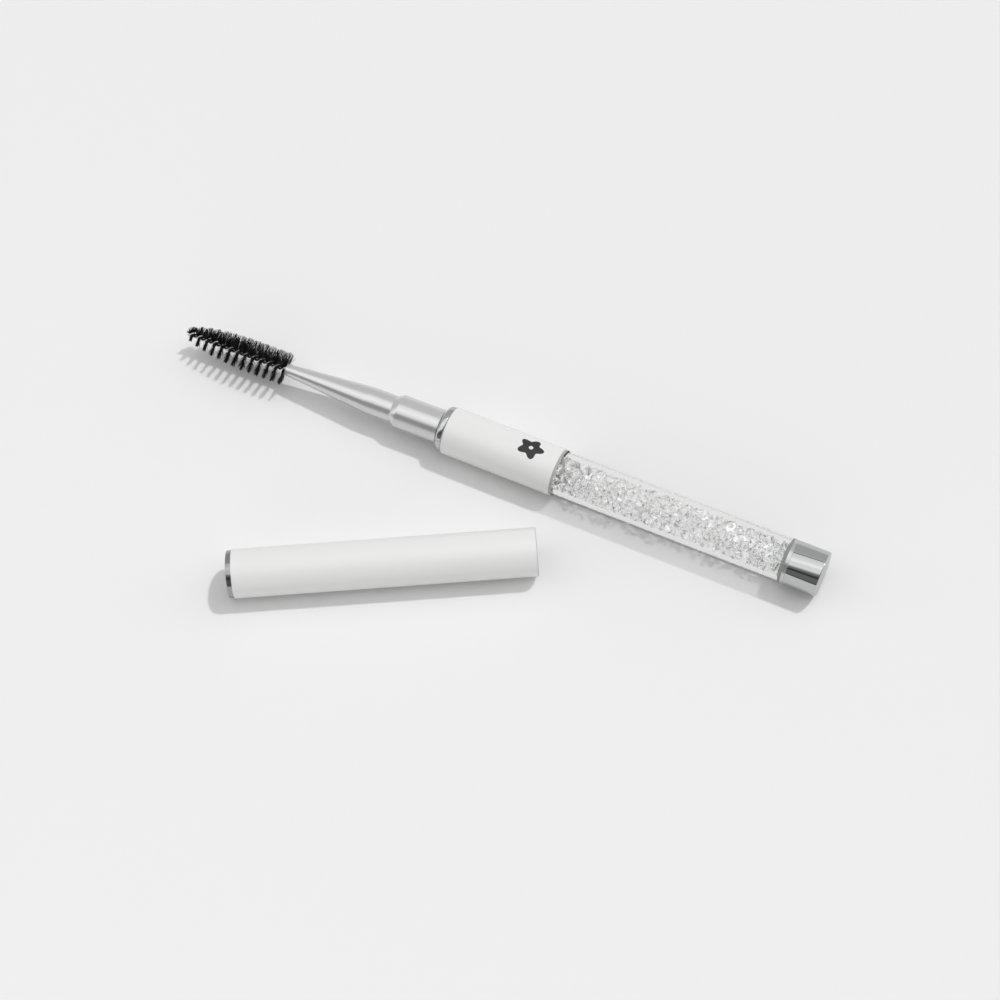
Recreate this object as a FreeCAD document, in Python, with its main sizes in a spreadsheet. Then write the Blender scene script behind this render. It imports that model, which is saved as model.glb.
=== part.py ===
import FreeCAD, Part
import math
import os
import random
import Sketcher
from FreeCAD import Placement, Rotation, Vector

# Eyebrow brush with a clear handle full of cut crystals, and its cap lying beside it.
# Millimetres. The brush and the cap each have a frame of their own, with X along the
# axis: from the tip of the bristles to the end cap, and from the closed end to the mouth.
# In the part's frame both lie on the plane Z = 0, the cap along X, and the origin is
# below the middle of the whole.

SIZES = {
    # twisted head
    "head_length": 24.3,
    "head_diameter": 7.5,
    "head_tip_diameter": 2.4,
    "head_taper": 16.0,
    "twist_lead": 3.82,
    "filament_width": 0.15,
    "filament_thickness": 0.12,
    "filaments_per_turn": 24,
    "wire_diameter": 0.55,
    "wire_seat": 6.0,
    "head_gap": 0.2,
    # ferrule
    "nose_diameter": 2.6,
    "cone_length": 20.2,
    "ferrule_diameter": 6.05,
    "ferrule_straight": 6.0,
    "ferrule_seat": 7.0,
    # neck that the cap slides on
    "neck_diameter": 7.55,
    "neck_length": 11.3,
    "shoulder_length": 1.3,
    "shoulder_step": 0.03,
    "neck_seat": 9.0,
    "ring_diameter": 10.2,
    "ring_length": 2.0,
    "ring_round": 1.1,
    # handle
    "barrel_diameter": 10.5,
    "barrel_length": 25.4,
    "barrel_wall": 0.5,
    "barrel_bevel": 0.15,
    "tube_diameter": 10.2,
    "tube_bore": 7.6,
    "tube_length": 51.65,
    "tube_seat": 6.0,
    "tube_bevel": 0.12,
    "front_plug_length": 2.5,
    "end_flange": 1.25,
    "end_flange_bevel": 0.3,
    "end_spigot": 4.0,
    "end_boss": 4.8,
    "end_cap_diameter": 9.85,
    "end_cap_length": 6.95,
    "end_cap_wall": 0.5,
    "end_cap_bevel": 0.25,
    # crystals, and the share of the bore's room that they fill
    "crystal_diameter": 2.9,
    "crystal_crown": 0.69,
    "crystal_depth": 1.27,
    "crystal_table": 1.66,
    "crystal_fill": 0.25,
    # cap
    "cap_diameter": 10.3,
    "cap_length": 63.4,
    "cap_grip": 10.8,
    "cap_bore": 8.2,
    "cap_bevel": 0.15,
    "cap_end_diameter": 10.0,
    "cap_end_thickness": 1.1,
    "cap_end_spigot": 2.0,
    "cap_end_wall": 0.6,
    "cap_end_bevel": 0.25,
    # fits, on the radius
    "slide_clearance": 0.025,
    "press_clearance": 0.02,
    # how the two lie: the turn of the brush, and the cap's mouth seen from the barrel's front
    "brush_turn": 28.7,
    "mouth_right": 16.45,
    "mouth_nearer": 30.7,
}

RUNS_PER_TURN = 7
WIRE_SIDES = 8
RING_CHORDS = 4
CRYSTAL_SIDES = 6
NOSE_FULLNESS = 0.6
SETTLING_STEPS = 220
FALLING_STEPS = 176
FALL_SHARE = 0.01
SEED = 7
RUN_CLOSENESS = round(math.cos(math.pi / RUNS_PER_TURN), 6)


class Size:
    """A length of the sheet, or one worked out from several, that keeps its formula."""

    def __init__(self, value, formula):
        self.value = value
        self.formula = formula

    def __add__(self, other):
        return Size(self.value + number(other), f"({self.formula} + {formula(other)})")

    def __sub__(self, other):
        return Size(self.value - number(other), f"({self.formula} - {formula(other)})")

    def __mul__(self, other):
        return Size(self.value * number(other), f"({self.formula} * {formula(other)})")

    def __truediv__(self, other):
        return Size(self.value / number(other), f"({self.formula} / {formula(other)})")


def number(size):
    return size.value if isinstance(size, Size) else size


def formula(size):
    return size.formula if isinstance(size, Size) else str(size)


def fill_sheet():
    """The sheet of driving dimensions, one row each: its name, and the number under an alias."""
    page = doc.addObject("Spreadsheet::Sheet", "dims")
    for row, (name, value) in enumerate(SIZES.items(), start=1):
        page.set(f"A{row}", name)
        page.set(f"B{row}", str(value))
        page.setAlias(f"B{row}", name)
    doc.recompute()
    return page


def size(name):
    return Size(float(sheet.get(name)), f"dims.{name}")


def draw_outline(sketch, corners):
    """Closed outline of straight lines, each corner held at its station and its radius."""
    count = len(corners)
    points = [Vector(number(x), number(r), 0) for x, r in corners]
    for i in range(count):
        sketch.addGeometry(Part.LineSegment(points[i], points[(i + 1) % count]), False)
    for i in range(count):
        sketch.addConstraint(Sketcher.Constraint("Coincident", i, 2, (i + 1) % count, 1))
    for i, corner in enumerate(corners):
        for value, distance, axis in zip(corner, ("DistanceX", "DistanceY"), (-2, -1)):
            if number(value) == 0:
                sketch.addConstraint(Sketcher.Constraint("PointOnObject", i, 1, axis))
                continue
            held = sketch.addConstraint(Sketcher.Constraint(distance, -1, 1, i, 1, number(value)))
            name = f"{distance}_{i}"
            sketch.renameConstraint(held, name)
            sketch.setExpression(f"Constraints.{name}", formula(value))


def turned(label, corners):
    """A body of its own, turned about X from the outline of its half section."""
    body = doc.addObject("PartDesign::Body", label)
    body.Label = label
    sketch = body.newObject("Sketcher::SketchObject", f"{label}_outline")
    plane = next(part for part in body.Origin.OriginFeatures if part.Role == "XY_Plane")
    sketch.AttachmentSupport = (plane, [""])
    sketch.MapMode = "FlatFace"
    draw_outline(sketch, corners)
    turn = body.newObject("PartDesign::Revolution", f"{label}_turned")
    turn.Profile = sketch
    turn.ReferenceAxis = (sketch, ["H_Axis"])
    turn.Angle = 360
    doc.recompute()
    return body


def soften(body, kind, amount, rims):
    """Round or bevel the circular edges at the given stations and radii."""
    wanted = [(number(x), number(r)) for x, r in rims]
    base = body.Tip
    names = []
    for i, edge in enumerate(base.Shape.Edges, start=1):
        if not isinstance(edge.Curve, Part.Circle):
            continue
        x, r = edge.Curve.Center.x, edge.Curve.Radius
        if any(abs(x - at) < 1e-4 and abs(r - wide) < 1e-4 for at, wide in wanted):
            names.append(f"Edge{i}")
    feature = body.newObject(f"PartDesign::{kind}", f"{body.Name}_{kind}")
    feature.Base = (base, names)
    feature.setExpression("Radius" if kind == "Fillet" else "Size", formula(amount))
    body.Tip = feature
    doc.recompute()


def head_radius(x):
    """Reach of the bristles at a station: a rounded nose, then full width."""
    tip, full = number(head_tip) / 2, number(head_diameter) / 2
    share = min(x / number(head_taper), 1.0)
    return tip + (full - tip) * math.sin(share * math.pi / 2) ** NOSE_FULLNESS


def make_bristles():
    """Straight filaments across the twisted wire, each turned a little on from the last."""
    thickness, width = number(filament_thickness), number(filament_width)
    lead, per_turn = number(twist_lead), int(number(filaments_per_turn))
    advance = lead / per_turn
    filaments = []
    for i in range(int((number(head_length) - thickness) / advance) + 1):
        x = i * advance
        reach = head_radius(x)
        filament = Part.makeBox(thickness, width, 2 * reach, Vector(x, -width / 2, -reach))
        filament.rotate(Vector(), Vector(1, 0, 0), -360 * (x + thickness / 2) / lead)
        filaments.append(filament)
    node = doc.addObject("Part::Feature", "bristles")
    node.Label = "bristles"
    node.Shape = Part.makeCompound(filaments)
    return node


def make_strand(label, start_angle):
    """One of the two wires that are twisted together and grip the filaments between them.

    The path is a left-hand helix in short straight runs and the section an octagon, which keeps its
    facets few.
    """
    radius, rise = number(strand_offset), number(twist_lead) / RUNS_PER_TURN
    runs = int(number(ferrule_front + wire_seat) / rise)
    angles = [2 * math.pi * i / RUNS_PER_TURN for i in range(runs + 1)]
    corners = [Vector(radius * math.cos(a), -radius * math.sin(a), rise * i) for i, a in enumerate(angles)]
    path = doc.addObject("Part::Feature", f"{label}_path")
    path.Shape = Part.makePolygon(corners)
    section = doc.addObject("Part::RegularPolygon", f"{label}_section")
    section.Polygon = WIRE_SIDES
    section.setExpression("Circumradius", formula(wire_diameter / 2))
    section.Placement = Placement(corners[0], Rotation(Vector(0, 0, 1), corners[1] - corners[0]))
    strand = doc.addObject("Part::Sweep", label)
    strand.Label = label
    strand.Sections = [section]
    strand.Spine = path
    strand.Solid = True
    strand.Frenet = False
    strand.Transition = "Right corner"
    doc.recompute()
    along_x = Rotation(Vector(0, 1, 0), 90)
    about_x = Rotation(Vector(1, 0, 0), start_angle)
    strand.Placement = Placement(Vector(), about_x.multiply(along_x))
    return strand


def make_ferrule():
    bore = strand_offset + wire_diameter / 2 + press_clearance
    bottom = ferrule_front + wire_seat + press_clearance
    return turned("ferrule", [
        (ferrule_front, bore),
        (ferrule_front, nose_diameter / 2),
        (cone_rear, ferrule_diameter / 2),
        (neck_front + ferrule_seat, ferrule_diameter / 2),
        (neck_front + ferrule_seat, 0),
        (bottom, 0),
        (bottom, bore),
    ])


def make_neck():
    seat = ferrule_diameter / 2 + press_clearance
    bottom = neck_front + ferrule_seat + press_clearance
    return turned("neck_collar", [
        (neck_front, seat),
        (neck_front, seat + size("shoulder_step")),
        (neck_front + shoulder_length, neck_diameter / 2),
        (barrel_front, neck_diameter / 2),
        (barrel_front, barrel_bore_radius - press_clearance),
        (barrel_front + neck_seat, barrel_bore_radius - press_clearance),
        (barrel_front + neck_seat, 0),
        (bottom, 0),
        (bottom, seat),
    ])


def make_ring():
    """Ring that stops the cap, its front corner rounded in a few chords of a quarter circle."""
    bore, rim = neck_diameter / 2 + press_clearance, ring_diameter / 2
    rounded = []
    for i in range(RING_CHORDS + 1):
        angle = math.pi / 2 * i / RING_CHORDS
        back, down = round(1 - math.sin(angle), 6), round(1 - math.cos(angle), 6)
        rounded.append((ring_front + ring_round * back, rim - ring_round * down))
    return turned("stop_ring", [
        (ring_front, bore),
        *reversed(rounded),
        (barrel_front, rim),
        (barrel_front, bore),
    ])


def make_barrel():
    outer = barrel_diameter / 2
    body = turned("barrel", [
        (barrel_front, barrel_bore_radius),
        (barrel_front, outer),
        (barrel_rear, outer),
        (barrel_rear, barrel_bore_radius),
    ])
    soften(body, "Chamfer", barrel_bevel, [(barrel_front, outer), (barrel_rear, outer)])
    return body


def make_tube():
    front = barrel_rear - tube_seat
    body = turned("clear_tube", [
        (front, tube_bore / 2),
        (front, barrel_bore_radius - press_clearance),
        (barrel_rear, barrel_bore_radius - press_clearance),
        (barrel_rear, tube_diameter / 2),
        (tube_rear, tube_diameter / 2),
        (tube_rear, tube_bore / 2),
    ])
    soften(body, "Chamfer", tube_bevel, [(tube_rear, tube_diameter / 2)])
    return body


def make_front_plug():
    front = barrel_rear - tube_seat
    return turned("front_plug", [
        (front, 0),
        (front, tube_bore / 2 - press_clearance),
        (front + front_plug_length, tube_bore / 2 - press_clearance),
        (front + front_plug_length, 0),
    ])


def make_end_plug():
    """Spigot in the tube, flange that shows between tube and end cap, boss in the end cap."""
    boss = end_cap_diameter / 2 - end_cap_wall - press_clearance
    spigot = tube_bore / 2 - press_clearance
    body = turned("end_plug", [
        (tube_rear - end_spigot, 0),
        (tube_rear - end_spigot, spigot),
        (tube_rear, spigot),
        (tube_rear, end_cap_diameter / 2 - press_clearance),
        (flange_rear, end_cap_diameter / 2 - press_clearance),
        (flange_rear, boss),
        (flange_rear + end_boss, boss),
        (flange_rear + end_boss, 0),
    ])
    rim = end_cap_diameter / 2 - press_clearance
    soften(body, "Chamfer", end_flange_bevel, [(tube_rear, rim)])
    return body


def make_end_cap():
    outer, inner = end_cap_diameter / 2, end_cap_diameter / 2 - end_cap_wall
    body = turned("end_cap", [
        (flange_rear, inner),
        (flange_rear, outer),
        (brush_rear, outer),
        (brush_rear, 0),
        (brush_rear - end_cap_wall, 0),
        (brush_rear - end_cap_wall, inner),
    ])
    soften(body, "Chamfer", end_cap_bevel, [(brush_rear, outer)])
    return body


def make_cap_tube():
    """White cap body: narrow at the mouth to grip the neck, wider where the bristles lie."""
    grip = neck_diameter / 2 + slide_clearance
    outer = cap_diameter / 2
    body = turned("cap_tube", [
        (cap_end_thickness, cap_bore / 2),
        (cap_end_thickness, outer),
        (cap_mouth, outer),
        (cap_mouth, grip),
        (cap_mouth - cap_grip, grip),
        (cap_mouth - cap_grip, cap_bore / 2),
    ])
    soften(body, "Chamfer", cap_bevel, [(cap_end_thickness, outer), (cap_mouth, outer)])
    return body


def make_cap_end():
    spigot = cap_bore / 2 - press_clearance
    body = turned("cap_end", [
        (0, 0),
        (0, cap_end_diameter / 2),
        (cap_end_thickness, cap_end_diameter / 2),
        (cap_end_thickness, spigot),
        (cap_end_thickness + cap_end_spigot, spigot),
        (cap_end_thickness + cap_end_spigot, spigot - cap_end_wall),
        (cap_end_thickness, spigot - cap_end_wall),
        (cap_end_thickness, 0),
    ])
    soften(body, "Chamfer", cap_end_bevel, [(0, cap_end_diameter / 2)])
    return body


def crystal_corners():
    """Corners of one cut crystal about the middle of its girdle: table, girdle and point."""
    table, girdle = number(crystal_table) / 2, number(crystal_diameter) / 2
    crown, depth = number(crystal_crown), number(crystal_depth)
    corners = []
    for radius, height, shift in ((table, crown, 0.0), (girdle, 0.0, 0.5)):
        for i in range(CRYSTAL_SIDES):
            angle = 2 * math.pi * (i + shift) / CRYSTAL_SIDES
            corners.append(Vector(radius * math.cos(angle), radius * math.sin(angle), height))
    return corners + [Vector(0, 0, -depth)]


def cut_crystal(corners):
    """Solid between the corners: a flat table, a ring of crown facets, and the pavilion."""
    table, girdle = corners[:CRYSTAL_SIDES], corners[CRYSTAL_SIDES:2 * CRYSTAL_SIDES]
    point = corners[-1]
    facets = [table]
    for i in range(CRYSTAL_SIDES):
        after = (i + 1) % CRYSTAL_SIDES
        facets.append([table[i], girdle[i], table[after]])
        facets.append([girdle[i], girdle[after], table[after]])
        facets.append([girdle[i], point, girdle[after]])
    faces = [Part.Face(Part.makePolygon(facet + facet[:1])) for facet in facets]
    solid = Part.makeSolid(Part.makeShell(faces))
    if solid.Volume < 0:
        solid.reverse()
    return solid


def settle(corners, bore_radius, start, length, count):
    """Places and turns of crystals in the bore: dropped in at random, then pushed apart and down.

    Two crystals stand clear when their reaches along the line between them are less than
    the distance, and a crystal is inside the bore when its outermost corner is.
    """
    chance = random.Random(SEED)
    clear = number(press_clearance)
    places, turns = [], []
    for i in range(count):
        along = start + length * (i + 0.5) / count
        places.append(Vector(along, chance.uniform(-1, 1), chance.uniform(-1, 1)))
        turns.append(Rotation(chance.uniform(0, 360), chance.uniform(0, 360), chance.uniform(0, 360)))
    shapes = [[turn.multVec(corner) for corner in corners] for turn in turns]
    widest = number(crystal_diameter) + clear
    for step in range(SETTLING_STEPS):
        fall = number(crystal_diameter) * FALL_SHARE if step < FALLING_STEPS else 0.0
        order = sorted(range(count), key=lambda i: places[i].x)
        for at, i in enumerate(order):
            for j in order[at + 1:]:
                if places[j].x - places[i].x > 1.1 * widest:
                    break
                between = places[j] - places[i]
                distance = between.Length
                if distance > widest:
                    continue
                toward = between.normalize()
                reach = max(corner.dot(toward) for corner in shapes[i])
                reach -= min(corner.dot(toward) for corner in shapes[j])
                overlap = reach + clear - distance
                if overlap > 0:
                    places[i] -= toward * (overlap / 2)
                    places[j] += toward * (overlap / 2)
        for i in range(count):
            place = places[i] - Vector(0, 0, fall)
            for corner in shapes[i]:
                y, z = place.y + corner.y, place.z + corner.z
                out = math.hypot(y, z)
                if out > bore_radius - clear:
                    back = (bore_radius - clear - out) / out
                    place += Vector(0, y * back, z * back)
            low = start + clear - min(corner.x for corner in shapes[i])
            high = start + length - clear - max(corner.x for corner in shapes[i])
            place.x = min(max(place.x, low), high)
            places[i] = place
    return [Placement(place, turn) for place, turn in zip(places, turns)]


def make_crystals():
    corners = crystal_corners()
    start = number(barrel_rear - tube_seat + front_plug_length)
    length = number(tube_rear - end_spigot) - start
    bore_radius = number(tube_bore) / 2
    pattern = cut_crystal(corners)
    room = math.pi * bore_radius ** 2 * length
    count = int(room * number(crystal_fill) / pattern.Volume)
    crystals = []
    for place in settle(corners, bore_radius, start, length, count):
        crystal = pattern.copy()
        crystal.Placement = place
        crystals.append(crystal)
    node = doc.addObject("Part::Feature", "crystals")
    node.Label = "crystals"
    node.Shape = Part.makeCompound(crystals)
    return node


def placed(node, pose):
    """Lay a sub-part in the part's frame; what it already has of a turn is kept."""
    node.Placement = pose.multiply(node.Placement)
    return node


def check(nodes):
    """Stop if any object failed or any sub-part is empty or not valid."""
    for part in doc.Objects:
        if "Invalid" in part.State or "Error" in part.State:
            raise RuntimeError(f"{part.Label} failed: {part.State}")
    for node in nodes:
        if node.Shape.isNull() or not node.Shape.isValid() or node.Shape.Volume <= 0:
            raise RuntimeError(f"{node.Label} has no valid shape")


doc = FreeCAD.newDocument("eyebrow_brush")
sheet = fill_sheet()

head_length, head_diameter, head_tip = size("head_length"), size("head_diameter"), size("head_tip_diameter")
head_taper, twist_lead = size("head_taper"), size("twist_lead")
filament_width, filament_thickness = size("filament_width"), size("filament_thickness")
filaments_per_turn = size("filaments_per_turn")
wire_diameter, wire_seat = size("wire_diameter"), size("wire_seat")
nose_diameter, ferrule_diameter = size("nose_diameter"), size("ferrule_diameter")
ferrule_seat, neck_diameter, neck_seat = size("ferrule_seat"), size("neck_diameter"), size("neck_seat")
shoulder_length = size("shoulder_length")
ring_diameter, ring_round = size("ring_diameter"), size("ring_round")
barrel_diameter, barrel_bevel = size("barrel_diameter"), size("barrel_bevel")
tube_diameter, tube_bore = size("tube_diameter"), size("tube_bore")
tube_seat, tube_bevel = size("tube_seat"), size("tube_bevel")
front_plug_length = size("front_plug_length")
end_spigot, end_boss, end_flange_bevel = size("end_spigot"), size("end_boss"), size("end_flange_bevel")
end_cap_diameter, end_cap_wall = size("end_cap_diameter"), size("end_cap_wall")
end_cap_bevel = size("end_cap_bevel")
crystal_diameter, crystal_table = size("crystal_diameter"), size("crystal_table")
crystal_crown, crystal_depth = size("crystal_crown"), size("crystal_depth")
crystal_fill = size("crystal_fill")
cap_diameter, cap_bore, cap_grip = size("cap_diameter"), size("cap_bore"), size("cap_grip")
cap_bevel, cap_end_diameter = size("cap_bevel"), size("cap_end_diameter")
cap_end_thickness, cap_end_spigot = size("cap_end_thickness"), size("cap_end_spigot")
cap_end_wall, cap_end_bevel = size("cap_end_wall"), size("cap_end_bevel")
slide_clearance, press_clearance = size("slide_clearance"), size("press_clearance")

# stations along the brush, from its tip
ferrule_front = head_length + size("head_gap")
cone_rear = ferrule_front + size("cone_length")
neck_front = cone_rear + size("ferrule_straight")
ring_front = neck_front + size("neck_length")
barrel_front = ring_front + size("ring_length")
barrel_rear = barrel_front + size("barrel_length")
tube_rear = barrel_rear + size("tube_length")
flange_rear = tube_rear + size("end_flange")
brush_rear = flange_rear + size("end_cap_length")
barrel_bore_radius = barrel_diameter / 2 - size("barrel_wall")
# the wires lie either side of the filaments, and even the middles of their runs stand clear
strand_offset = (wire_diameter / 2 + filament_width / 2 + press_clearance) / RUN_CLOSENESS
# station along the cap, from its closed end
cap_mouth = cap_end_thickness + size("cap_length")

brush = [
    make_bristles(),
    make_strand("wire_strand_a", 90),
    make_strand("wire_strand_b", 270),
    make_ferrule(),
    make_neck(),
    make_ring(),
    make_barrel(),
    make_tube(),
    make_front_plug(),
    make_crystals(),
    make_end_plug(),
    make_end_cap(),
]
cap = [make_cap_tube(), make_cap_end()]

# The brush lies turned about the front of its barrel, and the cap's mouth is set off from there.
lying = max(number(barrel_diameter), number(ring_diameter), number(tube_diameter)) / 2
turn = Rotation(Vector(0, 0, 1), -number(size("brush_turn")))
barrel_at = Vector(0, 0, lying)
brush_pose = Placement(barrel_at - turn.multVec(Vector(number(barrel_front), 0, 0)), turn)
mouth_at = Vector(number(size("mouth_right")), -number(size("mouth_nearer")), number(cap_diameter) / 2)
cap_pose = Placement(mouth_at - Vector(number(cap_mouth), 0, 0), Rotation())
for node in brush:
    placed(node, brush_pose)
for node in cap:
    placed(node, cap_pose)
doc.recompute()

# The origin is moved to below the middle of the whole.
nodes = brush + cap
box = FreeCAD.BoundBox()
for node in nodes:
    box.add(node.Shape.optimalBoundingBox(False))
middle = Placement(Vector(-box.Center.x, -box.Center.y, 0), Rotation())
for node in nodes:
    placed(node, middle)
doc.recompute()

check(nodes)
os.makedirs("parts", exist_ok=True)
for node in nodes:
    node.Shape.exportStep(f"parts/{node.Label}.step")
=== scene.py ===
import math
import random

import bpy
import numpy as np
from mathutils import Euler, Matrix, Vector


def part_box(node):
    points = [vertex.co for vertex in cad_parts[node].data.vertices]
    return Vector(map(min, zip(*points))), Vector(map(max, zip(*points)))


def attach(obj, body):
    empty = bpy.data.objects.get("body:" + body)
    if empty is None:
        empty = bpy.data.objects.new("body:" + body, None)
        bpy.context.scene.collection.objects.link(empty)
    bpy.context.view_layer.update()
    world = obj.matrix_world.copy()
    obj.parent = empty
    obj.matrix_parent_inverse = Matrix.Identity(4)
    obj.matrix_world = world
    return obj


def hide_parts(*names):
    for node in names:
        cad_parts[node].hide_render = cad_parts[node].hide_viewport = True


# Looks of an eyebrow brush with a crystal-filled handle, and of its cap lying beside it.
# Lengths are millimetres; MM turns them into the frame's metres. Along the brush X runs from
# the tip of the bristles to the end cap, along the cap from its closed end to its mouth.

MM = 0.001
SEGMENTS = 144
SEED = 11
FIT = 0.02

# stations along the brush, and how far its axis is turned from the cap's, in degrees
BRUSH_TURN = 28.7
FERRULE_FRONT = 24.5
CONE_REAR = 44.7
NECK_FRONT = 50.7
RING_FRONT = 62.0
BARREL_FRONT = 64.0
BARREL_REAR = 89.4
TUBE_REAR = 141.05
FLANGE_REAR = 142.3
BRUSH_REAR = 149.25

# stations along the cap
CAP_END = 1.1
CAP_MOUTH = 64.5
CAP_GRIP = 10.8

# how deep the pieces seat in one another
FERRULE_SEAT = 6.9
WIRE_SEAT = 6.0
NECK_SEAT = 9.0
TUBE_SEAT = 6.0
END_CAP_SEAT = 4.8
CAP_END_SEAT = 2.0
PLUG_SHORT = 0.4

# radii
WIRE_HOLE = 0.7
NOSE_RADIUS = 1.3
FERRULE_RADIUS = 3.025
NECK_RADIUS = 3.775
RING_RADIUS = 5.1
BARREL_RADIUS = 5.25
BARREL_BORE = 4.75
TUBE_RADIUS = 5.1
TUBE_REAR_RADIUS = 4.96
BORE_RADIUS = 3.8
FLANGE_RADIUS = 4.905
BOSS_RADIUS = 4.405
END_CAP_RADIUS = 4.925
CAP_RADIUS = 5.15
CAP_BORE = 4.1
CAP_GRIP_BORE = 3.8
CAP_END_RADIUS = 5.0
CAP_END_BORE = 3.48

# edges, seams and the width of a band of painted shade on the tube
PLATED_EDGE = 0.08
MOULDED_EDGE = 0.15
RING_BACK = 0.35
RING_ROUND = 0.85
RING_EDGE = 0.45
TUBE_EDGE = 0.1
TUBE_SHADE_BAND = 0.55
FLANGE_SEAM = 0.5

# head: the twisted pair, and a lean to the front of the pieces before the ring
TWIST_LEAD = 3.82
HEAD_LENGTH = 24.3
HEAD_PHASE = 0.3
LEAN = 0.0125
WIRE_RADIUS = 0.27
WIRE_OFFSET = 0.4
FILAMENTS = 1500
FILAMENT_RADIUS = 0.054
HEAD_TAPER = 16.0
HEAD_TIP_REACH = 0.95
HEAD_REACH = 3.83

CRYSTALS = 345
CRYSTAL_RADIUS = 1.12
CRYSTAL_CLEAR = 0.02
CRYSTAL_FALL = 0.02
CRYSTAL_STEPS = 500

# mark on the barrel
MARK_STATION = 83.0
MARK_TURN = 5
MARK_HEIGHT = 0.012
MARK_REACH = 2.6
MARK_HOLE = 0.42
PETALS = 5

# passes through glass after which a ray goes straight on, and width of a rim's fade
DEEPEST = 7
FADE = 0.12

# floor: its grey, and the share and the grey of the glow that mirror and glass rays see there
FLOOR_GREY = 0.862
FLOOR_SEEN = (("Is Glossy Ray", 0.22, 0.0), ("Is Transmission Ray", 0.75, 0.84))

# greys of the surroundings by angle, from in front at -90 over overhead at 0 to behind at 90
LIT_SKY = ((-90, 0.26), (-25, 0.26), (-20, 0.98), (40, 0.98), (46, 0.36), (90, 0.34))
SEEN_SKY = ((-90, 0.07), (-80, 0.14), (-72, 0.17), (-65, 0.13), (-58, 0.17), (-52, 0.03),
            (-46, 0.07), (-40, 0.18), (-34, 0.25), (-29, 0.70), (-24, 0.96), (-14, 0.86),
            (-8, 1.04), (-3, 1.15), (2, 1.08), (8, 0.95), (27, 0.80), (28, 0.15), (30, 0.15),
            (31, 0.50), (46, 0.44), (80, 0.44), (90, 0.60))
THROUGH_SKY = ((-90, 0.86), (-40, 0.92), (-25, 1.18), (40, 1.22), (50, 0.98), (90, 0.88))
PLAIN_SKY = ((-90, 0.856), (90, 0.856))

# camera: degrees above the floor and round the sight line, millimetres from its target
CAMERA_HEIGHT = 61.2
CAMERA_ROLL = -4.18
CAMERA_DISTANCE = 470.2
CAMERA_LENS = 79.2
CAMERA_TARGET = (-6.9, 15.72)


def arc(x, r, radius, start, end, steps=6):
    """Points on an arc about (x, r), angles in degrees from +X towards +R."""
    angles = [math.radians(start + (end - start) * i / steps) for i in range(steps + 1)]
    return [(x + radius * math.cos(a), r + radius * math.sin(a)) for a in angles]


def smooth(mesh, angle=30):
    mesh.polygons.foreach_set("use_smooth", [True] * len(mesh.polygons))
    mesh.set_sharp_from_angle(angle=math.radians(angle))


def piece(name, points, faces, pose, material):
    """A new mesh in millimetres, laid in the row frame by its pose."""
    mesh = bpy.data.meshes.new(name)
    mesh.from_pydata([Vector(p) * MM for p in points], [], faces)
    mesh.validate()
    made = bpy.data.objects.new(name, mesh)
    bpy.context.scene.collection.objects.link(made)
    made.matrix_world = pose
    mesh.materials.append(material)
    return made


def lathe(name, outline, pose, material, segments=SEGMENTS, angle=30):
    """Turned piece: the closed outline of (x, r) is swept round X."""
    rings, points, faces = [], [], []
    for x, r in outline:
        if r < 1e-6:
            rings.append([len(points)] * segments)
            points.append((x, 0.0, 0.0))
            continue
        rings.append(list(range(len(points), len(points) + segments)))
        for i in range(segments):
            a = 2 * math.pi * i / segments
            points.append((x, r * math.sin(a), r * math.cos(a)))
    for first, second in zip(rings, rings[1:] + rings[:1]):
        if first[0] == first[1] and second[0] == second[1]:
            continue
        for i in range(segments):
            j = (i + 1) % segments
            corners = [first[i], second[i], second[j], first[j]]
            faces.append([c for k, c in enumerate(corners) if c != corners[k - 1]])
    made = piece(name, points, faces, pose, material)
    face_outwards(made.data)
    smooth(made.data, angle)
    return made


def face_outwards(mesh):
    """Turn the faces so that the enclosed volume is positive."""
    volume = 0.0
    for face in mesh.polygons:
        corners = [mesh.vertices[i].co for i in face.vertices]
        for a, b in zip(corners[1:], corners[2:]):
            volume += corners[0].dot(a.cross(b))
    if volume < 0:
        mesh.flip_normals()


def lean_forward(made):
    """The pieces in front of the ring lean a little to the front, as they do in the photograph."""
    for vertex in made.data.vertices:
        vertex.co.y -= LEAN * max(RING_FRONT * MM - vertex.co.x, 0)


def keep(made, node):
    """A new piece stands for the CAD node, which is hidden, and hangs from the root body."""
    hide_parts(node)
    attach(made, "root")


# materials

def shader(name):
    material = bpy.data.materials.new(name)
    material.use_nodes = True
    nodes = material.node_tree.nodes
    return material, nodes, material.node_tree.links, nodes["Principled BSDF"]


def worked(tree, operation, first, second):
    """Result of a Math node on two values, each a number or another node's output."""
    node = tree.nodes.new("ShaderNodeMath")
    node.operation = operation
    for socket, value in zip(node.inputs, (first, second)):
        if isinstance(value, (int, float)):
            socket.default_value = value
        else:
            tree.links.new(value, socket)
    return node.outputs["Value"]


def mixed(tree, share, first, second):
    """The first shader where the share is 0, the second where it is 1."""
    mix = tree.nodes.new("ShaderNodeMixShader")
    tree.links.new(share, mix.inputs["Fac"])
    tree.links.new(first, mix.inputs[1])
    tree.links.new(second, mix.inputs[2])
    return mix.outputs["Shader"]


def bumped(nodes, links, body, height, strength):
    """Fine relief on a shader from a height."""
    bump = nodes.new("ShaderNodeBump")
    bump.inputs["Strength"].default_value = strength
    bump.inputs["Distance"].default_value = 0.02 * MM
    links.new(height, bump.inputs["Height"])
    links.new(bump.outputs["Normal"], body.inputs["Normal"])


def plain(name, colour, roughness=0.5, metallic=0.0, ior=1.45, **sockets):
    material, nodes, links, body = shader(name)
    body.inputs["Base Color"].default_value = (*colour, 1.0)
    body.inputs["Roughness"].default_value = roughness
    body.inputs["Metallic"].default_value = metallic
    body.inputs["IOR"].default_value = ior
    for socket, value in sockets.items():
        body.inputs[socket.replace("_", " ")].default_value = value
    return material


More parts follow.
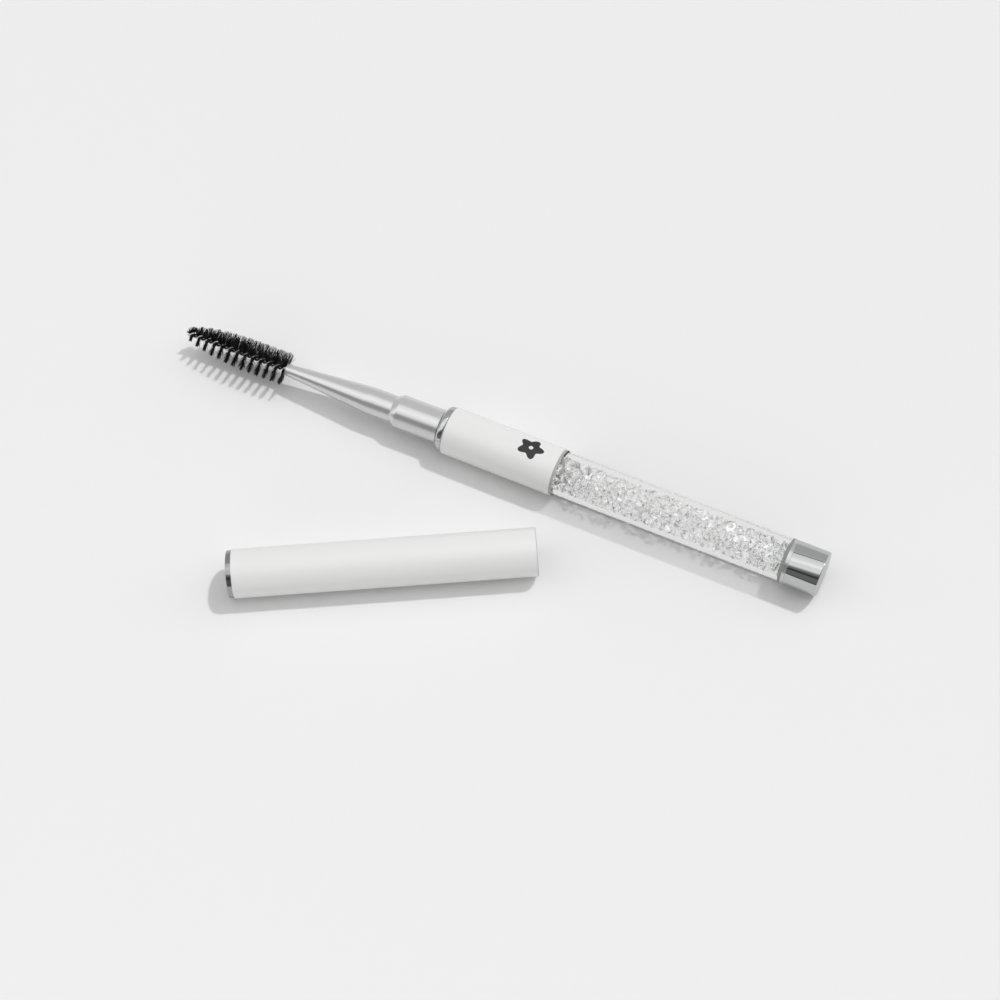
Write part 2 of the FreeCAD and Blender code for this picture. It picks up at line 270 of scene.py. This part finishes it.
def speckled_white(name, roughness, grain, scale):
    """Glossy white plastic with a faint mottle in its gloss and a fine relief."""
    material, nodes, links, body = shader(name)
    body.inputs["Base Color"].default_value = (0.83, 0.83, 0.82, 1.0)
    body.inputs["IOR"].default_value = 1.5
    noise = nodes.new("ShaderNodeTexNoise")
    noise.inputs["Scale"].default_value = scale
    noise.inputs["Detail"].default_value = 3.0
    place = nodes.new("ShaderNodeTexCoord")
    links.new(place.outputs["Object"], noise.inputs["Vector"])
    spread = nodes.new("ShaderNodeMapRange")
    spread.inputs["To Min"].default_value = roughness - 0.06
    spread.inputs["To Max"].default_value = roughness + 0.06
    links.new(noise.outputs["Fac"], spread.inputs["Value"])
    links.new(spread.outputs["Result"], body.inputs["Roughness"])
    bumped(nodes, links, body, noise.outputs["Fac"], grain)
    return material


def plated(name, colour, roughness, metallic, waviness):
    """Bright plating with the faint lengthwise waviness of drawn tube."""
    material, nodes, links, body = shader(name)
    body.inputs["Base Color"].default_value = (*colour, 1.0)
    body.inputs["Roughness"].default_value = roughness
    body.inputs["Metallic"].default_value = metallic
    place = nodes.new("ShaderNodeTexCoord")
    stretch = nodes.new("ShaderNodeMapping")
    stretch.inputs["Scale"].default_value = (60.0, 1500.0, 1500.0)
    links.new(place.outputs["Object"], stretch.inputs["Vector"])
    noise = nodes.new("ShaderNodeTexNoise")
    noise.inputs["Scale"].default_value = 1.0
    noise.inputs["Detail"].default_value = 2.0
    links.new(stretch.outputs["Vector"], noise.inputs["Vector"])
    bumped(nodes, links, body, noise.outputs["Fac"], waviness)
    return material


def clear(name, ior, tint, passed, rim=2.0, follows=0.0):
    """Clear glass or acrylic that passes a share of the light in its shadow.

    It fades at a grazing angle, from the facing given as rim. Where follows is 1, it also
    fades for a sight line that came in through such a faded face.
    """
    material = plain(name, tint, 0.0, ior=ior, Transmission_Weight=1.0)
    tree = material.node_tree
    path = tree.nodes.new("ShaderNodeLightPath")
    facing = tree.nodes.new("ShaderNodeLayerWeight")
    facing.inputs["Blend"].default_value = 0.5
    edge = tree.nodes.new("ShaderNodeMapRange")
    edge.inputs["From Min"].default_value = rim
    edge.inputs["From Max"].default_value = rim + FADE
    tree.links.new(facing.outputs["Facing"], edge.inputs["Value"])
    deep = worked(tree, "GREATER_THAN", path.outputs["Transmission Depth"], DEEPEST)
    came = worked(tree, "GREATER_THAN", path.outputs["Transparent Depth"], 0.5)
    straight = worked(tree, "MULTIPLY", came, follows)
    faded = worked(tree, "MAXIMUM", edge.outputs["Result"], straight)
    faint = worked(tree, "MAXIMUM", faded, deep)
    surface = tree.nodes["Principled BSDF"].outputs["BSDF"]
    for share, grey in ((faint, 0.98), (path.outputs["Is Diffuse Ray"], 1.0),
                        (path.outputs["Is Shadow Ray"], passed)):
        through = tree.nodes.new("ShaderNodeBsdfTransparent")
        through.inputs["Color"].default_value = (grey, grey, grey, 1.0)
        surface = mixed(tree, share, surface, through.outputs["BSDF"])
    tree.links.new(surface, tree.nodes["Material Output"].inputs["Surface"])
    return material


def repaint(made, chosen, material):
    """Give the faces whose (x, r) in millimetres is chosen another material."""
    made.data.materials.append(material)
    for face in made.data.polygons:
        x, r = face.center.x / MM, math.hypot(face.center.y, face.center.z) / MM
        if chosen(x, r):
            face.material_index = len(made.data.materials) - 1


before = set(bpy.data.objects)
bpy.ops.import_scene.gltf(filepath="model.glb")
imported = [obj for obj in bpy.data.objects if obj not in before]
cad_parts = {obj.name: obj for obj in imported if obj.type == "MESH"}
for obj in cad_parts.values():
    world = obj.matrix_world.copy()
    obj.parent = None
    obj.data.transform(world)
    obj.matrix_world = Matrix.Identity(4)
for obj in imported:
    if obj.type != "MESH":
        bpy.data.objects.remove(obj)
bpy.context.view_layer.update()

barrel_low, barrel_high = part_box("barrel")
cap_low, cap_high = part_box("cap_tube")
barrel_middle = (barrel_low + barrel_high) / 2
cap_middle = (cap_low + cap_high) / 2
brush_pose = (Matrix.Translation(barrel_middle)
              @ Matrix.Rotation(math.radians(-BRUSH_TURN), 4, "Z")
              @ Matrix.Translation((-(BARREL_FRONT + BARREL_REAR) / 2 * MM, 0, 0)))
cap_pose = (Matrix.Translation(cap_middle)
            @ Matrix.Translation((-(CAP_END + CAP_MOUTH) / 2 * MM, 0, 0)))

bristle_black = plain("bristle_black", (0.010, 0.010, 0.011), roughness=0.5, ior=1.35)
wire_steel = plain("wire_steel", (0.92, 0.92, 0.92), roughness=0.2, metallic=1.0)
satin_metal = plated("satin_metal", (0.80, 0.80, 0.80), 0.20, 0.71, 0.05)
bright_metal = plated("bright_metal", (0.69, 0.70, 0.70), 0.05, 1.0, 0.03)
cap_metal = plated("cap_metal", (0.46, 0.47, 0.47), 0.10, 1.0, 0.03)
barrel_white = speckled_white("barrel_white", 0.22, 0.05, 2500)
cap_white = speckled_white("cap_white", 0.34, 0.2, 4000)
clear_acrylic = clear("clear_acrylic", 1.49, (0.99, 0.995, 0.99), 0.67, rim=0.54)
clear_bore = clear("clear_bore", 1.49, (0.99, 0.995, 0.99), 1.0, follows=1.0)
crystal_clear = clear("crystal_clear", 1.5, (1.0, 1.0, 1.0), 1.0)
plug_grey = plain("plug_grey", (0.55, 0.56, 0.55), roughness=0.3)
band_silver = plain("band_silver", (0.72, 0.73, 0.72), roughness=0.2, metallic=0.8)
# grey of painted shade, for the recesses at both ends of the clear tube seen through it
painted_shade_grey = plain("painted_shade_grey", (0.42, 0.43, 0.42), roughness=0.4)
# near black for painted shade and painted reflection in the gaps either side of the ring
painted_gap_shade = plain("painted_gap_shade", (0.06, 0.06, 0.06), roughness=0.4)
seat_grey = plain("seat_grey", (0.27, 0.28, 0.27), roughness=0.35)
painted_mouth_shade = plain("painted_mouth_shade", (0.50, 0.50, 0.50), roughness=0.5)
mark_ink = plain("mark_ink", (0.028, 0.032, 0.033), roughness=0.45)

# ferrule, neck and ring

ferrule = lathe("ferrule_turned", [
    (FERRULE_FRONT, WIRE_HOLE),
    *arc(FERRULE_FRONT + PLATED_EDGE, NOSE_RADIUS - PLATED_EDGE, PLATED_EDGE, 180, 90, 4),
    (CONE_REAR, FERRULE_RADIUS),
    (NECK_FRONT + FERRULE_SEAT, FERRULE_RADIUS),
    (NECK_FRONT + FERRULE_SEAT, 0.0),
    (FERRULE_FRONT + WIRE_SEAT + FIT, 0.0),
    (FERRULE_FRONT + WIRE_SEAT + FIT, WIRE_HOLE),
], brush_pose, satin_metal, angle=3)
lean_forward(ferrule)
keep(ferrule, "ferrule")

neck = lathe("neck_turned", [
    (NECK_FRONT, FERRULE_RADIUS + FIT),
    (NECK_FRONT, FERRULE_RADIUS + 0.05),
    (NECK_FRONT + 1.25, NECK_RADIUS - 0.033),
    *arc(NECK_FRONT + 1.45, NECK_RADIUS - 0.1, 0.1, 115, 90, 3),
    (RING_FRONT, NECK_RADIUS),
    (BARREL_FRONT, NECK_RADIUS),
    (BARREL_FRONT, BARREL_BORE - FIT),
    (BARREL_FRONT + NECK_SEAT, BARREL_BORE - FIT),
    (BARREL_FRONT + NECK_SEAT, 0.0),
    (NECK_FRONT + FERRULE_SEAT + 0.12, 0.0),
    (NECK_FRONT + FERRULE_SEAT + 0.12, FERRULE_RADIUS + FIT),
], brush_pose, satin_metal)
# painted reflection of the ring: a dark band on the neck just in front of it
repaint(neck, lambda x, r: RING_FRONT < x < BARREL_FRONT and r > NECK_RADIUS - 0.075, painted_gap_shade)
lean_forward(neck)
keep(neck, "neck_collar")

ring = lathe("ring_turned", [
    (RING_FRONT + RING_BACK, NECK_RADIUS + FIT),
    *arc(RING_FRONT + RING_BACK + RING_ROUND, RING_RADIUS - RING_ROUND, RING_ROUND, 180, 90, 16),
    *arc(BARREL_FRONT - RING_EDGE, RING_RADIUS - RING_EDGE, RING_EDGE, 90, 0, 10),
    (BARREL_FRONT, NECK_RADIUS + FIT),
], brush_pose, bright_metal)
# painted shade: a dark line on the back of the ring, against the barrel
repaint(ring, lambda x, r: x > BARREL_FRONT - 0.12 and r > RING_RADIUS - 0.5, painted_gap_shade)
keep(ring, "stop_ring")

# handle

barrel = lathe("barrel_moulded", [
    (BARREL_FRONT, BARREL_BORE),
    *arc(BARREL_FRONT + MOULDED_EDGE, BARREL_RADIUS - MOULDED_EDGE, MOULDED_EDGE, 180, 90, 5),
    *arc(BARREL_REAR - MOULDED_EDGE, BARREL_RADIUS - MOULDED_EDGE, MOULDED_EDGE, 90, 0, 5),
    (BARREL_REAR, BARREL_BORE),
], brush_pose, barrel_white)
keep(barrel, "barrel")

tube = lathe("tube_clear", [
    (BARREL_REAR - TUBE_SEAT, BORE_RADIUS),
    (BARREL_REAR - TUBE_SEAT, BARREL_BORE - FIT),
    (BARREL_REAR, BARREL_BORE - FIT),
    (BARREL_REAR, TUBE_RADIUS),
    (BARREL_REAR + TUBE_SHADE_BAND, TUBE_RADIUS),
    *arc(TUBE_REAR - TUBE_EDGE, TUBE_REAR_RADIUS - TUBE_EDGE, TUBE_EDGE, 90, 0, 4),
    (TUBE_REAR, BORE_RADIUS),
], brush_pose, clear_acrylic, segments=192)
repaint(tube, lambda x, r: r < BORE_RADIUS + 0.05, clear_bore)
# painted shade: grey bands on the tube's shoulder at the barrel and on its rounded rear edge
repaint(tube, lambda x, r: (r > BARREL_BORE + 0.05
                            and not BARREL_REAR + TUBE_SHADE_BAND < x < TUBE_REAR - TUBE_EDGE), painted_shade_grey)
keep(tube, "clear_tube")

front_plug = lathe("front_plug_turned", [
    (BARREL_REAR - TUBE_SEAT, 0.0),
    (BARREL_REAR - TUBE_SEAT, BORE_RADIUS - FIT),
    *arc(BARREL_REAR - PLUG_SHORT - 0.1, BORE_RADIUS - FIT - 0.1, 0.1, 90, 0, 3),
    (BARREL_REAR - PLUG_SHORT, 0.0),
], brush_pose, plug_grey)
keep(front_plug, "front_plug")

end_plug = lathe("end_plug_turned", [
    (TUBE_REAR - PLUG_SHORT, 0.0),
    (TUBE_REAR - PLUG_SHORT, BORE_RADIUS - FIT),
    (TUBE_REAR, BORE_RADIUS - FIT),
    (TUBE_REAR, FLANGE_RADIUS - 0.1),
    (TUBE_REAR + 0.1, FLANGE_RADIUS),
    (TUBE_REAR + FLANGE_SEAM, FLANGE_RADIUS),
    (FLANGE_REAR, FLANGE_RADIUS),
    (FLANGE_REAR, BOSS_RADIUS),
    (FLANGE_REAR + END_CAP_SEAT, BOSS_RADIUS),
    (FLANGE_REAR + END_CAP_SEAT, 0.0),
], brush_pose, band_silver)
repaint(end_plug, lambda x, r: x < TUBE_REAR + FLANGE_SEAM - 0.01, seat_grey)
keep(end_plug, "end_plug")

end_cap = lathe("end_cap_turned", [
    (FLANGE_REAR, BOSS_RADIUS + FIT),
    *arc(FLANGE_REAR + PLATED_EDGE, END_CAP_RADIUS - PLATED_EDGE, PLATED_EDGE, 180, 90, 4),
    *arc(BRUSH_REAR - 0.22, END_CAP_RADIUS - 0.22, 0.22, 90, 0, 6),
    (BRUSH_REAR, 0.0),
    (BRUSH_REAR - 0.5, 0.0),
    (BRUSH_REAR - 0.5, BOSS_RADIUS + FIT),
], brush_pose, bright_metal)
keep(end_cap, "end_cap")

# cap

cap_tube = lathe("cap_moulded", [
    (CAP_END, CAP_BORE),
    *arc(CAP_END + MOULDED_EDGE, CAP_RADIUS - MOULDED_EDGE, MOULDED_EDGE, 180, 90, 5),
    *arc(CAP_MOUTH - MOULDED_EDGE, CAP_RADIUS - MOULDED_EDGE, MOULDED_EDGE, 90, 0, 5),
    (CAP_MOUTH, CAP_GRIP_BORE),
    (CAP_MOUTH - CAP_GRIP, CAP_GRIP_BORE),
    (CAP_MOUTH - CAP_GRIP, CAP_BORE),
], cap_pose, cap_white)
# painted shade: grey on the cap's rounded mouth and the bore behind it
repaint(cap_tube, lambda x, r: x > CAP_MOUTH - MOULDED_EDGE + FIT, painted_mouth_shade)
keep(cap_tube, "cap_tube")

cap_end = lathe("cap_end_turned", [
    (0.0, 0.0),
    *arc(0.24, CAP_END_RADIUS - 0.24, 0.24, 180, 90, 6),
    (CAP_END, CAP_END_RADIUS),
    (CAP_END, CAP_BORE - FIT),
    (CAP_END + CAP_END_SEAT, CAP_BORE - FIT),
    (CAP_END + CAP_END_SEAT, CAP_END_BORE),
    (CAP_END, CAP_END_BORE),
    (CAP_END, 0.0),
], cap_pose, cap_metal)
keep(cap_end, "cap_end")


# twisted wires

def strand(name, node, start):
    """Round wire on a left-hand helix, seen between the rows of bristles."""
    points, faces = [], []
    sides, per_turn = 10, 20
    length = FERRULE_FRONT + 5.5
    steps = int(length / TWIST_LEAD * per_turn)
    for i in range(steps + 1):
        x = length * i / steps
        a = -2 * math.pi * (x - HEAD_PHASE) / TWIST_LEAD + math.radians(start)
        out = Vector((0, -math.sin(a), math.cos(a)))
        round_axis = Vector((0, math.cos(a), math.sin(a)))
        along = Vector((TWIST_LEAD, 0, 0)) + 2 * math.pi * WIRE_OFFSET * round_axis
        side = along.normalized().cross(out)
        for k in range(sides):
            b = 2 * math.pi * k / sides
            at = out * (WIRE_OFFSET + WIRE_RADIUS * math.cos(b)) + side * (WIRE_RADIUS * math.sin(b))
            points.append((x + at.x, at.y, at.z))
    for i in range(steps):
        for k in range(sides):
            a, b = i * sides + k, i * sides + (k + 1) % sides
            faces.append([a, b, b + sides, a + sides])
    faces.append(list(range(sides)))
    faces.append(list(range(steps * sides, (steps + 1) * sides)))
    made = piece(name, points, faces, brush_pose, wire_steel)
    face_outwards(made.data)
    smooth(made.data, 50)
    lean_forward(made)
    keep(made, node)


strand("wire_round_a", "wire_strand_a", 90)
strand("wire_round_b", "wire_strand_b", 270)


# bristles

def reach(x):
    """Half width of the head at a station from its tip."""
    share = min(x / HEAD_TAPER, 1.0)
    return HEAD_TIP_REACH + (HEAD_REACH - HEAD_TIP_REACH) * math.sin(share * math.pi / 2) ** 0.55


def bristles(chance):
    """Filaments gripped at their middles between the wires and splayed a little towards their tips."""
    points, faces = [], []
    for i in range(FILAMENTS):
        x = HEAD_LENGTH * (i + 0.5) / FILAMENTS
        turn = -2 * math.pi * (x - HEAD_PHASE) / TWIST_LEAD + chance.gauss(0, 0.05)
        for end in (1, -1):
            length = reach(x) * (1 - abs(chance.gauss(0, 0.06)))
            lean = chance.gauss(0, 0.22)
            swing = chance.gauss(0, 0.05)
            spine = []
            for share in (0.0, 0.55, 1.0):
                a = turn + swing * share ** 1.5
                out = end * length * share
                spine.append(Vector((x + lean * share ** 1.4, -math.sin(a) * out, math.cos(a) * out)))
            base = len(points)
            for at, width in zip(spine, (1.0, 0.9, 0.55)):
                for k in range(3):
                    b = 2 * math.pi * k / 3 + turn
                    flat = math.sin(b)
                    across = Vector((math.cos(b), flat * math.cos(turn), flat * math.sin(turn)))
                    points.append(at + across * FILAMENT_RADIUS * width)
            for ring_at in (0, 3):
                for k in range(3):
                    a, b = base + ring_at + k, base + ring_at + (k + 1) % 3
                    faces.append([a, b, b + 3, a + 3])
            faces.append([base + 6, base + 7, base + 8])
    made = piece("bristles_dense", points, faces, brush_pose, bristle_black)
    lean_forward(made)
    keep(made, "bristles")


bristles(random.Random(SEED))


# crystals

def brilliant(radius):
    """Corners and faces of a round brilliant cut, about the middle of its girdle."""
    crown, pavilion, half_girdle = math.tan(math.radians(34)), math.tan(math.radians(41)), 0.03
    table, side, low = 0.56, 0.77, 0.30
    lean = math.cos(math.pi / 8)
    height = half_girdle + (1 - table) * crown
    rings = [
        (table, height, 8, 0.0),
        (side, height - (side * lean - table) * crown, 8, 0.5),
        (1.0, half_girdle, 16, 0.0),
        (1.0, -half_girdle, 16, 0.0),
        (low, -half_girdle - (1 - low * lean) * pavilion, 8, 0.5),
    ]
    points, starts = [], []
    for r, z, count, shift in rings:
        starts.append(len(points))
        for k in range(count):
            a = 2 * math.pi * (k + shift) / count
            points.append(Vector((r * math.cos(a), r * math.sin(a), z)) * radius)
    points.append(Vector((0, 0, -half_girdle - pavilion)) * radius)
    t, s, g, h, p = starts
    culet = len(points) - 1
    faces = [[t + k for k in range(8)]]
    for k in range(8):
        after, before = (k + 1) % 8, (k - 1) % 8
        here, middle, there = 2 * k, 2 * k + 1, (2 * k + 2) % 16
        faces += [
            [t + k, s + k, t + after],
            [t + k, s + before, g + here, s + k],
            [s + k, g + here, g + middle],
            [s + k, g + middle, g + there],
            [g + here, h + here, h + middle, g + middle],
            [g + middle, h + middle, h + there, g + there],
            [h + here, p + k, h + middle],
            [h + middle, p + k, h + there],
            [h + here, p + before, culet, p + k],
        ]
    return points, faces


def settle(corners, count, front, rear, bore, chance):
    """Crystals dropped in the bore at random, then pushed apart and down until they lie clear."""
    places = np.array([((front + (rear - front) * (i + 0.5) / count), chance.uniform(-1.5, 1.5),
                        chance.uniform(-1.5, 1.5)) for i in range(count)])
    turns = [Euler([chance.uniform(0, 2 * math.pi) for _ in range(3)]).to_matrix() for _ in range(count)]
    shapes = np.array([[turn @ corner for corner in corners] for turn in turns])
    widest = 2 * max(corner.length for corner in corners)
    first, second = np.triu_indices(count, 1)
    for step in range(CRYSTAL_STEPS):
        between = places[second] - places[first]
        near = np.abs(between).max(axis=1) < widest
        i, j, between = first[near], second[near], between[near]
        distance = np.linalg.norm(between, axis=1)
        toward = between / distance[:, None]
        needed = np.einsum("nck,nk->nc", shapes[i], toward).max(axis=1)
        needed -= np.einsum("nck,nk->nc", shapes[j], toward).min(axis=1)
        overlap = np.clip(needed + CRYSTAL_CLEAR - distance, 0, None)
        push = toward * (overlap * 0.35)[:, None]
        np.add.at(places, i, -push)
        np.add.at(places, j, push)
        if step < CRYSTAL_STEPS * 0.8:
            places[:, 2] -= CRYSTAL_FALL
        for _ in range(3):
            out = places[:, None, 1:] + shapes[:, :, 1:]
            wide = np.linalg.norm(out, axis=2)
            worst = wide.argmax(axis=1)
            every = np.arange(count)
            far = wide[every, worst]
            back = np.clip(far - bore, 0, None) / far
            places[:, 1:] -= out[every, worst] * back[:, None]
        low = front - shapes[:, :, 0].min(axis=1)
        high = rear - shapes[:, :, 0].max(axis=1)
        places[:, 0] = np.clip(places[:, 0], low, high)
    return places, turns


def crystals(chance):
    corners, facets = brilliant(CRYSTAL_RADIUS)
    front = BARREL_REAR - PLUG_SHORT + CRYSTAL_CLEAR
    rear = TUBE_REAR - PLUG_SHORT - CRYSTAL_CLEAR
    places, turns = settle(corners, CRYSTALS, front, rear, BORE_RADIUS - CRYSTAL_CLEAR, chance)
    points, faces = [], []
    for place, turn in zip(places, turns):
        base = len(points)
        points += [Vector(place) + turn @ corner for corner in corners]
        faces += [[base + c for c in facet] for facet in facets]
    made = piece("crystals_cut", points, faces, brush_pose, crystal_clear)
    face_outwards(made.data)
    keep(made, "crystals")


crystals(random.Random(SEED))


# generic mark on the barrel: a plain flower of five petals

def mark():
    radius = BARREL_RADIUS + MARK_HEIGHT
    rings_of, around = 5, 120
    points, faces = [], []
    for i in range(rings_of + 1):
        for k in range(around):
            b = 2 * math.pi * k / around
            edge = MARK_REACH * (0.82 + 0.18 * math.cos(PETALS * b))
            r = MARK_HOLE + (edge - MARK_HOLE) * i / rings_of
            x = MARK_STATION + r * math.cos(b) * 1.15
            a = math.radians(MARK_TURN) + r * math.sin(b) / radius
            points.append((x, radius * math.sin(a), radius * math.cos(a)))
    for i in range(rings_of):
        for k in range(around):
            j = (k + 1) % around
            faces.append([i * around + k, i * around + j, (i + 1) * around + j, (i + 1) * around + k])
    made = piece("barrel_mark", points, faces, brush_pose, mark_ink)
    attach(made, "root")


mark()

# floor, light and camera

def ground():
    """Plain floor; mirrors and glass see a share of their own glow in it."""
    white = plain("floor_white", (FLOOR_GREY,) * 3, roughness=1.0, Specular_IOR_Level=0.0)
    tree = white.node_tree
    path = tree.nodes.new("ShaderNodeLightPath")
    surface = tree.nodes["Principled BSDF"].outputs["BSDF"]
    for kind, share, grey in FLOOR_SEEN:
        seen = worked(tree, "MULTIPLY", path.outputs[kind], share)
        glow = tree.nodes.new("ShaderNodeEmission")
        glow.inputs["Color"].default_value = (grey, grey, grey, 1.0)
        surface = mixed(tree, seen, surface, glow.outputs["Emission"])
    tree.links.new(surface, tree.nodes["Material Output"].inputs["Surface"])
    corners = [(-3000, -3000, 0), (3000, -3000, 0), (3000, 3000, 0), (-3000, 3000, 0)]
    piece("floor", corners, [[0, 1, 2, 3]], Matrix.Identity(4), white)


ground()


def sky(tree, angle, shades):
    """Background of greys by the angle from overhead, from in front at -90 to behind at 90."""
    share = tree.nodes.new("ShaderNodeMapRange")
    share.inputs["From Min"].default_value = -math.pi / 2
    share.inputs["From Max"].default_value = math.pi / 2
    tree.links.new(angle.outputs["Value"], share.inputs["Value"])
    ramp = tree.nodes.new("ShaderNodeValToRGB")
    stops = ramp.color_ramp.elements
    brightest = max(grey for degrees, grey in shades)
    for stop, (degrees, grey) in zip(stops, (shades[0], shades[-1])):
        stop.color = (grey / brightest,) * 3 + (1,)
    for degrees, grey in shades[1:-1]:
        stop = stops.new((degrees + 90) / 180)
        stop.color = (grey / brightest,) * 3 + (1,)
    tree.links.new(share.outputs["Result"], ramp.inputs["Fac"])
    background = tree.nodes.new("ShaderNodeBackground")
    background.inputs["Strength"].default_value = brightest
    tree.links.new(ramp.outputs["Color"], background.inputs["Color"])
    return background


def studio():
    """A soft box overhead, grey walls behind and a dim room in front.

    Mirrors and glass each see greys of their own there, and the camera one plain pale grey.
    """
    world = bpy.data.worlds.new("studio")
    bpy.context.scene.world = world
    world.use_nodes = True
    tree = world.node_tree
    tree.nodes.clear()
    place = tree.nodes.new("ShaderNodeTexCoord")
    split = tree.nodes.new("ShaderNodeSeparateXYZ")
    tree.links.new(place.outputs["Generated"], split.inputs["Vector"])
    angle = tree.nodes.new("ShaderNodeMath")
    angle.operation = "ARCTAN2"
    tree.links.new(split.outputs["Y"], angle.inputs[0])
    tree.links.new(split.outputs["Z"], angle.inputs[1])
    path = tree.nodes.new("ShaderNodeLightPath")
    whole = sky(tree, angle, LIT_SKY).outputs["Background"]
    for kind, shades in (("Is Camera Ray", PLAIN_SKY), ("Is Glossy Ray", SEEN_SKY),
                         ("Is Transmission Ray", THROUGH_SKY)):
        seen = sky(tree, angle, shades).outputs["Background"]
        whole = mixed(tree, path.outputs[kind], whole, seen)
    output = tree.nodes.new("ShaderNodeOutputWorld")
    tree.links.new(whole, output.inputs["Surface"])


studio()

key = bpy.data.lights.new("key", "SUN")
key.energy = 1.08
key.angle = math.radians(3.0)
key_at = bpy.data.objects.new("key", key)
key_at.rotation_euler = Vector((0.505, 0.26, 1.0)).to_track_quat("Z", "Y").to_euler()
bpy.context.scene.collection.objects.link(key_at)

fill = bpy.data.lights.new("fill", "AREA")
fill.energy = 1.7
fill.shape = "RECTANGLE"
fill.size, fill.size_y = 1.2, 0.4
fill_at = bpy.data.objects.new("fill", fill)
fill_at.location = (-0.42, -0.82, 0.24)
fill_at.rotation_euler = Vector((-0.42, -0.82, 0.2)).to_track_quat("Z", "Y").to_euler()
fill_at.visible_glossy = False
fill_at.visible_transmission = False
bpy.context.scene.collection.objects.link(fill_at)

target = Vector((cap_high.x + CAMERA_TARGET[0] * MM, cap_middle.y + CAMERA_TARGET[1] * MM, 0.0))
height, roll = math.radians(CAMERA_HEIGHT), math.radians(CAMERA_ROLL)
back = Vector((0, -math.cos(height), math.sin(height)))
right = Vector((1, 0, 0))
up = back.cross(right)
across = right * math.cos(roll) + up * math.sin(roll)
upward = up * math.cos(roll) - right * math.sin(roll)
camera = bpy.data.cameras.new("camera")
camera.lens = CAMERA_LENS
camera.sensor_width = 36.0
camera.clip_start = 0.01
camera_at = bpy.data.objects.new("camera", camera)
turned = Matrix((across, upward, back)).transposed().to_4x4()
camera_at.matrix_world = Matrix.Translation(target + back * CAMERA_DISTANCE * MM) @ turned
bpy.context.scene.collection.objects.link(camera_at)
bpy.context.scene.camera = camera_at
bpy.context.scene.view_settings.view_transform = "Standard"
